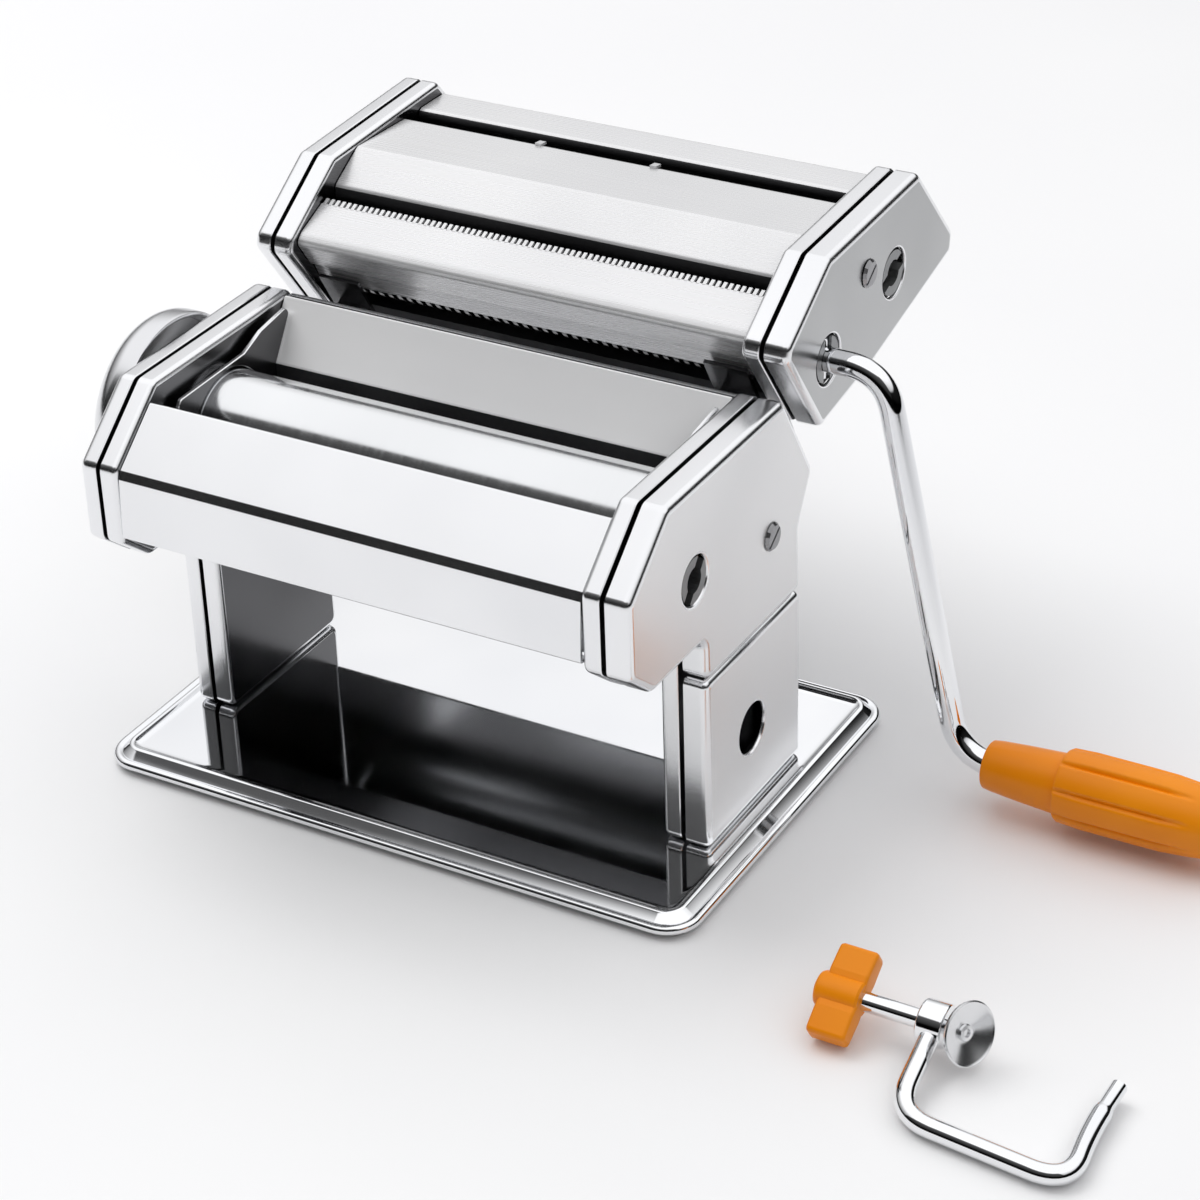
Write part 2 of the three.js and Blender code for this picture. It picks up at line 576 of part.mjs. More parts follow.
// A point given from the middle of a pair: `a` along the pair and `b` below it.
function combPoint(driven, a, b) {
  const middle = along(driven, CUTTER_DIRECTION, CUTTER_SPACING / 2);
  return along(along(middle, CUTTER_DIRECTION, a), CUTTER_DIRECTION - Math.PI / 2, b);
}

// Two slots between these sheets take the dough; folded-in lips lead it to each pair of rollers.
const ROOF = [[92.5, 149.5], [87, 158.3], [59.5, 159.3], [46.5, 151.8], [45.5, 147.5], [53.5, 142.8]];
const CUTTER_FRONT = [[40.6, 149.75], [28, 144.6], [24.8, 142.3], [30.1, 132.6], [34.3, 124.8]];
const CUTTER_BACK = [[130, 135.8], [109.5, 158.4], [92.3, 158.4], [98.5, 150.5]];

function buildCutterPanels() {
  place('cutter_roof', foldedSheet(ROOF), BRUSHED);
  place('cutter_front_plate', foldedSheet(CUTTER_FRONT), BRUSHED);
  place('cutter_back_plate', foldedSheet(CUTTER_BACK), BRUSHED);
}

// The head hangs by two T-shaped hooks in channels on the rear panel. Both are drawn flat, with
// `down` along the panel and `out` away from it, and are then turned onto the panel.
const RAIL = { x: 66, wide: 18, slot: 9, out: 5.2, wall: 1.2, from: 9.8, to: 29.8 };
const HOOK = { wide: 14, neck: 8, out: 11.1, from: 13, neckFrom: 15, plateFrom: 4, plateTo: 27 };

function onRearPanel(geometry) {
  const [bottom, top] = REAR_PANEL.slice(-2);
  const length = Math.hypot(bottom[0] - top[0], bottom[1] - top[1]);
  const down = new THREE.Vector3(0, (bottom[0] - top[0]) / length, (bottom[1] - top[1]) / length);
  const across = new THREE.Vector3(1, 0, 0);
  const out = new THREE.Vector3().crossVectors(across, down);
  const turn = new THREE.Matrix4().makeBasis(across, down, out).setPosition(0, ...top);
  return geometry.applyMatrix4(turn);
}

function buildHeadMount(side) {
  const { x, wide, slot, out, wall, from, to } = RAIL;
  const channel = cut(
    boxAt([x - wide / 2, from, GAP], [x + wide / 2, to, out]),
    boxAt([x - wide / 2 + wall, from - 1, GAP + wall], [x + wide / 2 - wall, to - wall, out - wall]),
    boxAt([x - slot / 2, from - 1, GAP + wall], [x + slot / 2, to - wall, out + 1]),
  );
  placeOnSide('head_rail', side, onRearPanel(channel), STEEL);
  const low = GAP + wall + GAP;
  const high = out - wall - GAP;
  const hook = join(
    boxAt([x - HOOK.wide / 2, HOOK.from, low], [x + HOOK.wide / 2, to - wall - GAP, high]),
    boxAt([x - HOOK.neck / 2, HOOK.neckFrom, low], [x + HOOK.neck / 2, HOOK.plateTo, HOOK.out - 0.5]),
    boxAt([x - HOOK.wide / 2, HOOK.plateFrom, HOOK.out - 1.2], [x + HOOK.wide / 2, HOOK.plateTo, HOOK.out]),
  );
  placeOnSide('head_hook', side, onRearPanel(hook), STEEL);
}

// ---- Crank --------------------------------------------------------------------------------

function crankPoint([x, distance]) {
  const [y, z] = along(NARROW_DRIVEN, -Math.PI / 2 - CRANK_LEAN, distance);
  return new THREE.Vector3(x, y, z);
}

function buildCrank() {
  const bent = bentRod(CRANK_PATH.map(crankPoint), CRANK_R, CRANK_BEND, 36);
  const pin = new THREE.CylinderGeometry(1.5, 1.5, 12.4, 10).rotateX(Math.PI / 2 - CRANK_LEAN);
  pin.translate(CRANK_PIN_X, ...NARROW_DRIVEN);
  place('crank_rod', join(bent, pin), CHROME);

  const [, y, z] = crankPoint([0, CRANK_THROW]).toArray();
  const [from, to] = GRIP_X;
  const body = turned([y, z], [
    [from, 0], [from, 7.2], [from + 3, 7.8], [171, 9], [172.5, 11], [180, GRIP_R], [205, GRIP_R],
    [211, 11], [221, 10], [to - 1, 8], [to, 5], [to, 0],
  ], 18);
  place('crank_grip', cut(body, rod([y, z], CRANK_R + 0.4, from - 1, 222.8, 16)), ORANGE);
}

// ---- Table clamp --------------------------------------------------------------------------

function buildClamp() {
  const frame = bentRod(CLAMP_PATH.map((point) => new THREE.Vector3(...point)), CLAMP_ROD_R, CLAMP_BEND, 24);
  const [eyeFrom, eyeTo] = CLAMP_EYE_X;
  const eye = rod(CLAMP_AXIS, 6.2, eyeFrom, eyeTo, 16);
  const thread = rod(CLAMP_AXIS, CLAMP_SCREW_R + GAP, eyeFrom - 5, eyeTo + 8, 16);
  place('clamp_frame', cut(join(frame, eye), thread), CHROME);

  place('clamp_screw', rod(CLAMP_AXIS, CLAMP_SCREW_R, ...CLAMP_SCREW_X, 16), ZINC);
  const facing = new THREE.Vector3(...CLAMP_PAD_FACING).normalize();
  const askew = new THREE.Quaternion().setFromUnitVectors(new THREE.Vector3(1, 0, 0), facing);
  const pad = turned([0, 0], [[0, 0], [0, 4], [1.6, 8.6], [2.4, 9], [3.2, 9], [3.2, 0]], 20);
  place('clamp_pad', pad.applyQuaternion(askew).translate(CLAMP_PAD_X, ...CLAMP_AXIS), CHROME);

  const [from, to] = CLAMP_KNOB_X;
  const half = [[-13.4, -3.3], [-5.5, -3.9], [0, -3.1], [5.5, -3.9], [13.4, -3.3]];
  const outline = [...half, ...half.map(([u, v]) => [-u, -v])];
  const wing = prism(outline, from, to).rotateX(CLAMP_KNOB_TILT).translate(0, ...CLAMP_AXIS);
  const hub = rod(CLAMP_AXIS, 5.2, from - 2, to, 20);
  const bore = rod(CLAMP_AXIS, CLAMP_SCREW_R + GAP, CLAMP_SCREW_X[0] - GAP, to + 1, 16);
  place('clamp_knob', cut(join(wing, hub), bore), ORANGE);
}

// ---- Assembly -----------------------------------------------------------------------------

buildBase();
Object.keys(SIDES).forEach((side) => {
  buildCheek(side);
  buildSideGuide(side);
  buildCutterCheek(side);
  buildHeadMount(side);
});
buildPanels();
place('cover_screw_right', screw(COVER_SCREW, COVER_OUT.right, 2), STEEL);
buildRollers();
buildBearingBlocks();
buildThicknessSetting();
buildCutterPanels();
PAIRS.forEach(buildCutterPair);
place('cutter_cover_screw', screw(CUTTER_SCREW, COVER_OUT.right, 2), STEEL);
buildCrank();
buildClamp();

export default machine;
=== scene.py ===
import json
import math

import bmesh
import bpy
from mathutils import Matrix, Vector


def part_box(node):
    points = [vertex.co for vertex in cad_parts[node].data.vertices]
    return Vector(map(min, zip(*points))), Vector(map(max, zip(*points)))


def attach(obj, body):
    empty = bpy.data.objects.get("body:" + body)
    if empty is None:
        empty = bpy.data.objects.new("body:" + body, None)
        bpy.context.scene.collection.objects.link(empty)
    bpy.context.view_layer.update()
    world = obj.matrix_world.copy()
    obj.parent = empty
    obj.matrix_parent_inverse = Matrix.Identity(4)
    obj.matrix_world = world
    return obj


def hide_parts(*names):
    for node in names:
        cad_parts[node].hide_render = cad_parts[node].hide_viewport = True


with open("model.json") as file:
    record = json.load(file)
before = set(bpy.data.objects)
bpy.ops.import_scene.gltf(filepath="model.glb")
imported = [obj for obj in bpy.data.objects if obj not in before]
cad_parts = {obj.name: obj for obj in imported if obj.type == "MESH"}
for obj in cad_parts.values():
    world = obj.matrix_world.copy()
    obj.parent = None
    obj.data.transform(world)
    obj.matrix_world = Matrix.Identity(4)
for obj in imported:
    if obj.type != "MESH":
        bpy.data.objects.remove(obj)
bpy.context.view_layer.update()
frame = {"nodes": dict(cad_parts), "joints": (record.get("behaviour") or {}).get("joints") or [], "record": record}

# Looks of the pasta roller machine. Sizes are in millimetres and become metres in finish_mesh.
# The side plane is (y, z); X runs along the rollers, and both cheeks share the same planes.
MM = 0.001
SIDES = {"right": 1, "left": -1}
PANEL_END = 75.7
ROLLER_END = 75.2
SHEET = 1.0
PLATE = 1.2
FRAME_IN = 76.0
FRAME_OUT = 81.8  # the seam between a frame and its cover is black and a good millimetre wide
COVER_IN = 83.2

# Outlines as (y, z), anticlockwise seen from +X
HEAD_SEAM_Z = 62.5
LEG_FRONT, LEG_BACK, LEG_BOTTOM = -30, 29, 5.8
HEAD_TOP = [(28.2, 83.6), (37, 99), (19, 128.5), (-50, 128.5), (-72, 110), (-72, 86.5), (-60, 76.5), (LEG_FRONT, 76.5)]
HEAD_OUTLINE = [(LEG_FRONT, HEAD_SEAM_Z + 0.3), (LEG_BACK, HEAD_SEAM_Z + 0.3), *HEAD_TOP]
BODY_OUTLINE = [(LEG_FRONT, LEG_BOTTOM), (LEG_BACK, LEG_BOTTOM), *HEAD_TOP]
LEG_TOP = HEAD_SEAM_Z - 0.2
LEG_OUTLINE = [(LEG_FRONT, LEG_BOTTOM), (LEG_BACK, LEG_BOTTOM), (LEG_BACK, LEG_TOP), (LEG_FRONT, LEG_TOP)]
CUTTER_OUTLINE = [
    (42, 108.8), (76.5, 114), (131.5, 127.5), (132.5, 134.5), (107.2, 163), (47, 160.3), (21.4, 143.6), (20, 139.5),
]

FRONT_PANEL = [(-48.5, 118.8), (-53, 123.8), (-69.9, 109.5), (-71.1, 107.1), (-72.3, 88.5), (-68, 87.5)]
FEED_PLATE = [(15.5, 127.5), (4.7, 111), (4.7, 95.8)]
REAR_PANEL = [(27.5, 21.5), (27.5, 84), (35.5, 99.5), (19.5, 127)]
GUIDE_OUTLINE = [
    (-4.2, 93.2), (4.2, 95.4), (4.2, 111.1), (12.8, 124.2), (11.4, 126.3), (-2, 124.4), (-11, 121),
    (-43, 120.4), (-44.5, 118.6), (-44.5, 110), (-38.2, 107.5),
]
ROOF = [(92.5, 149.5), (87, 158.3), (59.5, 159.3), (46.5, 151.8), (45.5, 147.5), (53.5, 142.8)]
CUTTER_NOSE = [(40.6, 149.75), (26.6, 144.0), (24.0, 141.5), (30.1, 132.4)]
CUTTER_APRON = [(31.0, 133.2), (35.1, 125.2)]
CUTTER_BACK = [(130, 135.8), (109.5, 158.4), (92.3, 158.4), (98.5, 150.5)]

NARROW_LINE = 0.199  # slope of the row of cutting rollers
CRANK_LEAN = math.radians(5)
CRANK_THROW = 115.5
TOOTH_PITCH = 2.0
PAD_X = 191.5
PAD_FACING = (0.887, -0.346, 0.3058)
WING_TILT = math.radians(32)
HUB_REACH = 2.0


def node_middle(node):
    """The middle of a CAD node's box, in millimetres."""
    low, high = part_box(node)
    return (Vector(low) + Vector(high)) / 2 / MM


def joint_axis(name):
    """The (y, z) of a hinge's axis, in millimetres."""
    place = next(joint["pos_m"] for joint in frame["joints"] if joint["name"] == name)
    return Vector((place[1], place[2])) / MM


FRONT_AXIS = joint_axis("front_roller_turn")
REAR_AXIS = joint_axis("rear_roller_turn")
PINION_AXIS = joint_axis("pinion_turn")
NARROW_AXIS = joint_axis("narrow_turn")
NARROW_MATE_AXIS = joint_axis("narrow_mate_turn")
WIDE_AXIS = joint_axis("wide_turn")
WIDE_MATE_AXIS = joint_axis("wide_mate_turn")
GRIP_AXIS = joint_axis("grip_spin")
CLAMP_AXIS = joint_axis("screw_turn")


# ---- Materials ----------------------------------------------------------------------------


def new_material(name):
    """A material with its Principled shader and helpers to add nodes."""
    material = bpy.data.materials.new(name)
    material.use_nodes = True
    nodes = material.node_tree.nodes
    return material, nodes, material.node_tree.links, nodes["Principled BSDF"]


def noise(nodes, links, scale, detail=3.0, stretch=(1, 1, 1)):
    """A noise texture in object space, drawn out along an axis by a small stretch value."""
    place = nodes.new("ShaderNodeTexCoord")
    mapping = nodes.new("ShaderNodeMapping")
    mapping.inputs["Scale"].default_value = stretch
    texture = nodes.new("ShaderNodeTexNoise")
    texture.inputs["Scale"].default_value = scale
    texture.inputs["Detail"].default_value = detail
    links.new(place.outputs["Object"], mapping.inputs["Vector"])
    links.new(mapping.outputs["Vector"], texture.inputs["Vector"])
    return texture.outputs["Fac"]


def between(nodes, links, factor, low, high):
    """Maps a 0 to 1 factor to a value range."""
    ramp = nodes.new("ShaderNodeMapRange")
    ramp.inputs["From Min"].default_value = 0.3
    ramp.inputs["From Max"].default_value = 0.7
    ramp.inputs["To Min"].default_value = low
    ramp.inputs["To Max"].default_value = high
    links.new(factor, ramp.inputs["Value"])
    return ramp.outputs["Result"]


def shades(nodes, links, factor, dark, light):
    """Mixes two colours by a factor."""
    ramp = nodes.new("ShaderNodeValToRGB")
    ramp.color_ramp.elements[0].position = 0.3
    ramp.color_ramp.elements[0].color = (*dark, 1)
    ramp.color_ramp.elements[1].position = 0.7
    ramp.color_ramp.elements[1].color = (*light, 1)
    links.new(factor, ramp.inputs["Fac"])
    return ramp.outputs["Color"]


def add_bump(nodes, links, shader, heights, strength, distance):
    bump = nodes.new("ShaderNodeBump")
    bump.inputs["Strength"].default_value = strength
    bump.inputs["Distance"].default_value = distance
    links.new(heights, bump.inputs["Height"])
    links.new(bump.outputs["Normal"], shader.inputs["Normal"])


def metal(name, dark, light, smooth, rough, stretch=(1, 1, 1), scale=60.0, bump=0.0, mirror=1.0):
    """A metal whose colour and roughness vary a little, with faint lines along the stretched axis."""
    material, nodes, links, shader = new_material(name)
    shader.inputs["Metallic"].default_value = mirror
    grain = noise(nodes, links, scale, 4.0, stretch)
    cloud = noise(nodes, links, 14.0, 2.0)
    links.new(shades(nodes, links, cloud, dark, light), shader.inputs["Base Color"])
    links.new(between(nodes, links, grain, smooth, rough), shader.inputs["Roughness"])
    if bump:
        add_bump(nodes, links, shader, grain, bump, 0.0004)
    return material


def chrome():
    return metal("polished_chrome", (0.82, 0.83, 0.85), (0.9, 0.905, 0.915), 0.025, 0.07, scale=90.0)


def soft_chrome():
    """The knob's plating, which blurs what it mirrors."""
    return metal("soft_chrome", (0.7, 0.705, 0.72), (0.8, 0.805, 0.815), 0.2, 0.26, scale=12.0)


def satin():
    """Polished steel sheet, whose reflections are a little soft."""
    return metal("satin_steel", (0.82, 0.825, 0.84), (0.9, 0.905, 0.915), 0.2, 0.24, scale=12.0)


def painted_shade_lining():
    """The unpolished inside of a pressing, near black as painted shade."""
    return metal("painted_shade_lining", (0.05, 0.05, 0.052), (0.1, 0.1, 0.105), 0.5, 0.7, scale=60.0)


def shaded():
    """Steel deep in the machine, where little light reaches it."""
    return metal("shaded_steel", (0.1, 0.1, 0.104), (0.17, 0.17, 0.175), 0.18, 0.26, scale=14.0)


def brushed():
    """Brushed sheet: its fine lines scatter part of the light."""
    lines = (1.0, 90, 90)
    return metal("brushed_steel", (0.74, 0.74, 0.75), (0.82, 0.82, 0.825), 0.25, 0.3, lines, 12.0, mirror=0.45)


def pale_sheet():
    """The feed plate's matt finish."""
    lines = (1.0, 90, 90)
    return metal("pale_sheet", (0.9, 0.9, 0.905), (0.97, 0.97, 0.97), 0.28, 0.3, lines, 12.0, mirror=0.15)


def cover_face_metal():
    """Less of a mirror than the rims round it."""
    return metal("cover_face", (0.85, 0.853, 0.86), (0.88, 0.883, 0.89), 0.29, 0.31, scale=12.0, mirror=0.55)


def painted_reflection_face_metal():
    """The cutter head's covers: a darker base colour is a painted reflection of something darker than what the body's
    covers mirror.
    """
    return metal("painted_reflection_cover_face", (0.42, 0.425, 0.43), (0.52, 0.525, 0.53), 0.22, 0.27, scale=12.0)


def turned_metal():
    return metal("turned_roller", (0.74, 0.75, 0.76), (0.82, 0.83, 0.84), 0.1, 0.17, (40, 2, 2), 20.0, 0.02)


def plain_steel():
    return metal("plain_steel", (0.3, 0.3, 0.31), (0.4, 0.4, 0.41), 0.22, 0.36, scale=80.0, bump=0.03)


def zinc():
    return metal("zinc_plate", (0.24, 0.245, 0.25), (0.34, 0.345, 0.35), 0.3, 0.45, scale=50.0, bump=0.04)


def moulded(name, dark, light, smooth, rough, bump):
    """A moulded plastic or rubber with a fine eggshell surface."""
    material, nodes, links, shader = new_material(name)
    cloud = noise(nodes, links, 30.0, 2.0)
    grain = noise(nodes, links, 1400.0, 2.0)
    links.new(shades(nodes, links, cloud, dark, light), shader.inputs["Base Color"])
    links.new(between(nodes, links, cloud, smooth, rough), shader.inputs["Roughness"])
    shader.inputs["Specular IOR Level"].default_value = 0.3
    add_bump(nodes, links, shader, grain, bump, 0.0002)
    return material


def orange_plastic():
    return moulded("orange_plastic", (0.86, 0.25, 0.001), (0.92, 0.29, 0.002), 0.34, 0.42, 0.06)


def black_plastic():
    return moulded("black_plastic", (0.012, 0.012, 0.013), (0.03, 0.03, 0.032), 0.4, 0.55, 0.1)


def rubber():
    return moulded("black_rubber", (0.012, 0.012, 0.012), (0.028, 0.028, 0.028), 0.7, 0.9, 0.2)


CHROME = chrome()
SOFT_CHROME = soft_chrome()
SATIN = satin()
PAINTED_SHADE_STEEL = painted_shade_lining()
SHADED = shaded()
BRUSHED = brushed()
PALE = pale_sheet()
COVER_FACE = cover_face_metal()
PAINTED_REFLECTION_FACE = painted_reflection_face_metal()
TURNED = turned_metal()
STEEL = plain_steel()
ZINC = zinc()
ORANGE = orange_plastic()
BLACK = black_plastic()
RUBBER = rubber()
SHADED_NODES = ("head_rail", "head_hook", "front_tie_bar", "front_scraper", "rear_scraper")
# The combs under the nose are painted near black as shade.
COMBS_IN_PAINTED_SHADE = ("narrow_comb", "wide_comb")
SLOT_MATERIALS = {
    "chrome": CHROME, "brushed": BRUSHED, "roller_metal": TURNED, "steel": STEEL, "gear_metal": ZINC,
    "black_plastic": BLACK, "rubber": RUBBER, "orange": ORANGE,
}


# ---- Outlines -----------------------------------------------------------------------------


def fillet(points, radius, segments=5, closed=True):
    """Rounds the corners of an outline, or the inner corners of an open run of points."""
    rounded = []
    for i, point in enumerate(points):
        corner = Vector(point)
        if not closed and i in (0, len(points) - 1):
            rounded.append(corner)
            continue
        before = Vector(points[i - 1]) - corner
        after = Vector(points[(i + 1) % len(points)]) - corner
        half = before.angle(after) / 2
        reach = min(radius / math.tan(half), before.length * 0.45, after.length * 0.45)
        start = before.normalized() * reach
        end = after.normalized() * reach
        centre = (start + end).normalized() * (reach / math.cos(half))
        spoke = start - centre
        last = end - centre
        sweep = math.atan2(spoke.cross(last), spoke.dot(last))
        for k in range(segments + 1):
            rounded.append(corner + centre + Matrix.Rotation(sweep * k / segments, 2) @ spoke)
    return rounded


def shifted(points, distance, closed):
    """Moves a run of points to its left; a closed anticlockwise outline moves inwards."""
    moved = []
    for i, point in enumerate(points):
        has_before = closed or i > 0
        has_after = closed or i < len(points) - 1
        after = (points[(i + 1) % len(points)] - point).normalized() if has_after else None
        before = (point - points[i - 1]).normalized() if has_before else after
        after = after or before
        left = Vector((-(before.y + after.y), before.x + after.x)).normalized()
        moved.append(point + left * distance / left.dot(Vector((-before.y, before.x))))
    return moved


def circle(centre, radius, segments):
    turns = (2 * math.pi * i / segments for i in range(segments))
    return [Vector(centre) + Vector((math.cos(t), math.sin(t))) * radius for t in turns]


def at_x(points, x):
    return [Vector((x, point.x, point.y)) for point in points]


# ---- Mesh helpers -------------------------------------------------------------------------


def ring_of(bm, points):
    return [bm.verts.new(point) for point in points]


def bridge(bm, low, high, closed=True):
    count = len(low) if closed else len(low) - 1
    for i in range(count):
        j = (i + 1) % len(low)
        bm.faces.new((low[i], low[j], high[j], high[i]))


def loft(bm, loops, closed=True):
    """Joins each loop of points to the next, and returns the rings of vertices."""
    rings = [ring_of(bm, loop) for loop in loops]
    for low, high in zip(rings, rings[1:]):
        bridge(bm, low, high, closed)
    return rings


def fill(bm, *rings):
    """Fills the flat region inside the first ring and outside the others."""
    edges = []
    for ring in rings:
        for a, b in zip(ring, ring[1:] + ring[:1]):
            edges.append(bm.edges.get((a, b)) or bm.edges.new((a, b)))
    bmesh.ops.triangle_fill(bm, use_beauty=True, edges=edges)


def mirror_x(bm):
    for vertex in bm.verts:
        vertex.co.x = -vertex.co.x


def finish_mesh(name, bm, material, body, nodes, sharp=32, others=()):
    """Turns the mesh into an object in metres that rides on a body and stands for CAD nodes."""
    bmesh.ops.recalc_face_normals(bm, faces=bm.faces)
    bmesh.ops.scale(bm, vec=(MM, MM, MM), verts=bm.verts)
    for face in bm.faces:
        face.smooth = True
    for edge in bm.edges:
        edge.smooth = len(edge.link_faces) == 2 and edge.calc_face_angle(0) < math.radians(sharp)
    mesh = bpy.data.meshes.new(name)
    bm.to_mesh(mesh)
    bm.free()
    for each in (material, *others):
        mesh.materials.append(each)
    piece = bpy.data.objects.new(name, mesh)
    bpy.context.scene.collection.objects.link(piece)
    weighted = piece.modifiers.new("flat faces stay flat", "WEIGHTED_NORMAL")
    weighted.keep_sharp = True
    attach(piece, body)
    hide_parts(*nodes)
    return piece


def carve(piece, low, high):
    """Cuts a box, in millimetres, out of a piece."""
    bpy.ops.mesh.primitive_cube_add(size=1)
    cutter = bpy.context.active_object
    cutter.scale = (Vector(high) - Vector(low)) * MM
    cutter.location = (Vector(high) + Vector(low)) / 2 * MM
    modifier = piece.modifiers.new("carve", "BOOLEAN")
    modifier.operation = "DIFFERENCE"
    modifier.object = cutter
    bpy.context.view_layer.objects.active = piece
    bpy.ops.object.modifier_move_to_index(modifier="carve", index=0)
    bpy.ops.object.modifier_apply(modifier="carve")
    bpy.data.objects.remove(cutter)


def faces_at(bm, x):
    """The flat faces that lie in one x plane."""
    return [face for face in bm.faces if all(abs(vertex.co.x - x) < 0.01 for vertex in face.verts)]


def quarter(radius, segments):
    """(depth, inset) pairs round a softened edge, from the side of a shell to its face."""
    steps = (math.pi / 2 * i / segments for i in range(segments + 1))
    return [(radius * math.sin(t), radius * (1 - math.cos(t))) for t in steps]


def pressed_shell(bm, outline, face, edge, radius, holes=(), corner=3.5):
    """A pressed pan: a face, a softened edge round it, a flange, and wall thickness behind."""
    out = 1 if face > edge else -1
    outer = fillet(outline, corner)
    inner = shifted(outer, SHEET, True)
    start = face - out * radius
    loops = [at_x(shifted(outer, inset, True), start + out * depth) for depth, inset in reversed(quarter(radius, 5))]
    loops.append(at_x(shifted(outer, 0.0, True), edge + out * 0.3))
    loops.append(at_x(shifted(outer, 0.25, True), edge))
    rings = loft(bm, loops)
    behind = face - out * PLATE
    lining = loft(bm, [
        at_x(inner, edge + out * 0.1), at_x(inner, behind - out), at_x(shifted(outer, SHEET + 1, True), behind)])
    bridge(bm, rings[-1], lining[0])
    fronts, backs = [rings[0]], [lining[-1]]
    for centre, size, lip in holes:
        rim = [(size + lip, 0.0), (size + lip * 0.35, -0.2), (size, -0.7), (size, -PLATE)]
        hole = loft(bm, [at_x(circle(centre, r, 48), face + out * depth) for r, depth in rim])
        fronts.append(hole[0])
        backs.append(hole[-1])
    fill(bm, *fronts)
    fill(bm, *backs)
    # The walls behind the face take the near-black painted shade.
    for inside in {f for ring in lining for vertex in ring for f in vertex.link_faces}:
        inside.material_index = 1
    for flat in faces_at(bm, face):
        flat.material_index = 2


def sheet_profile(points, bend, thickness):
    """The closed section of a folded sheet with round folds and softened free edges."""
    outer = fillet(points, bend, 6, closed=False)
    inner = shifted(outer, thickness, closed=False)
    first = (outer[0] + inner[0]) / 2 + (outer[0] - outer[1]).normalized() * thickness * 0.4
    last = (outer[-1] + inner[-1]) / 2 + (outer[-1] - outer[-2]).normalized() * thickness * 0.4
    return [first, *outer, last, *reversed(inner)]


def folded_sheet(bm, points, bend, low=-PANEL_END, high=PANEL_END, thickness=SHEET):
    rings = loft(bm, [at_x(sheet_profile(points, bend, thickness), x) for x in (low, high)])
    fill(bm, rings[0])
    fill(bm, rings[1])


def lathe(bm, centre, profile, segments=64, shape=None):
    """Turns an (x, radius) profile about a line along X; shape(x, radius, angle) may vary the radius."""
    loops = []
    for x, radius in profile:
        loop = []
        for i in range(segments):
            angle = 2 * math.pi * i / segments
            r = shape(x, radius, angle) if shape else radius
            loop.append(Vector((x, centre[0] + r * math.cos(angle), centre[1] + r * math.sin(angle))))
        loops.append(loop)
    rings = loft(bm, loops)
    for ring in (rings[0], rings[-1]):
        bm.faces.new(ring)


def soft_profile(profile, radius, segments=3):
    """Rounds the corners of a lathe profile."""
    points = fillet([Vector(point) for point in profile], radius, segments, closed=False)
    return [(point.x, point.y) for point in points]


def tube(bm, points, radius, sides=24, taper=None):
    """A round rod along a path; taper(share) scales its radius."""
    loops = []
    side = None
    for i, point in enumerate(points):
        before = points[max(i - 1, 0)]
        after = points[min(i + 1, len(points) - 1)]
        direction = (after - before).normalized()
        side = direction.orthogonal() if side is None else side - direction * side.dot(direction)
        side.normalize()
        other = direction.cross(side)
        size = radius * (taper(i / (len(points) - 1)) if taper else 1)
        turns = [2 * math.pi * k / sides for k in range(sides)]
        loops.append([point + (side * math.cos(t) + other * math.sin(t)) * size for t in turns])
    rings = loft(bm, loops)
    for ring in (rings[0], rings[-1]):
        bm.faces.new(ring)


def bent_path(corners, reach, segments=10):
    """Points along straight stretches joined by smooth bends."""
    path = [Vector(corners[0])]
    for before, corner, after in zip(corners, corners[1:], corners[2:]):
        corner, before, after = Vector(corner), Vector(before), Vector(after)
        size = min(reach, (corner - before).length / 2, (corner - after).length / 2)
        start = corner + (before - corner).normalized() * size
        end = corner + (after - corner).normalized() * size
        for i in range(segments + 1):
            t = i / segments
            path.append(start * (1 - t) ** 2 + corner * 2 * t * (1 - t) + end * t ** 2)
    path.append(Vector(corners[-1]))
    return path


# ---- Base ---------------------------------------------------------------------------------


def rounded_rectangle(width, depth, radius, centre_x, segments=10):
    corners = [(1, 1, 0), (-1, 1, 90), (-1, -1, 180), (1, -1, 270)]
    points = []
    for right, back, start in corners:
        for i in range(segments + 1):
            angle = math.radians(start + 90 * i / segments)
            x = centre_x + right * (width / 2 - radius) + radius * math.cos(angle)
            points.append((x, back * (depth / 2 - radius) + radius * math.sin(angle)))
    return points


def bead(inset, z, radius, start, end, segments=8):
    """(inset, z) points round a bead, given its middle and its first and last angles in degrees."""
    angles = (math.radians(start + (end - start) * i / segments) for i in range(segments + 1))
    return [(inset - radius * math.cos(a), z + radius * math.sin(a)) for a in angles]


def base_loop(inset, z):
    low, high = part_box("base_plate")
    size = (Vector(high) - Vector(low)) / MM
    radius = max(2.5, 11 - inset)
    middle = node_middle("base_plate").x
    points = rounded_rectangle(size.x - 2 * inset, size.y - 2 * inset, radius, middle)
    return [Vector((x, y, z)) for x, y in points]


def make_base():
    """A pressed plate: a rolled outer bead, a broad slope up from it and a shallow recess inside."""
    section = [(1.3, 1.6), *bead(1.5, 3.0, 1.5, -60, 110), (2.7, 4.1), (4.9, 6.0), *bead(5.9, 5.35, 1.25, 45, 150, 5)]
    section += [(7.9, 5.6), (8.6, 5.5), (9.6, 5.5)]
    bm = bmesh.new()
    rings = loft(bm, [base_loop(inset, z) for inset, z in section])
    fill(bm, rings[-1])
    under = loft(bm, [base_loop(inset, z) for inset, z in [(2.4, 1.6), (2.9, 3.3), (6, 4.4)]])
    bridge(bm, rings[0], under[0])
    fill(bm, under[-1])
    finish_mesh("base", bm, CHROME, "root", ["base_plate"])


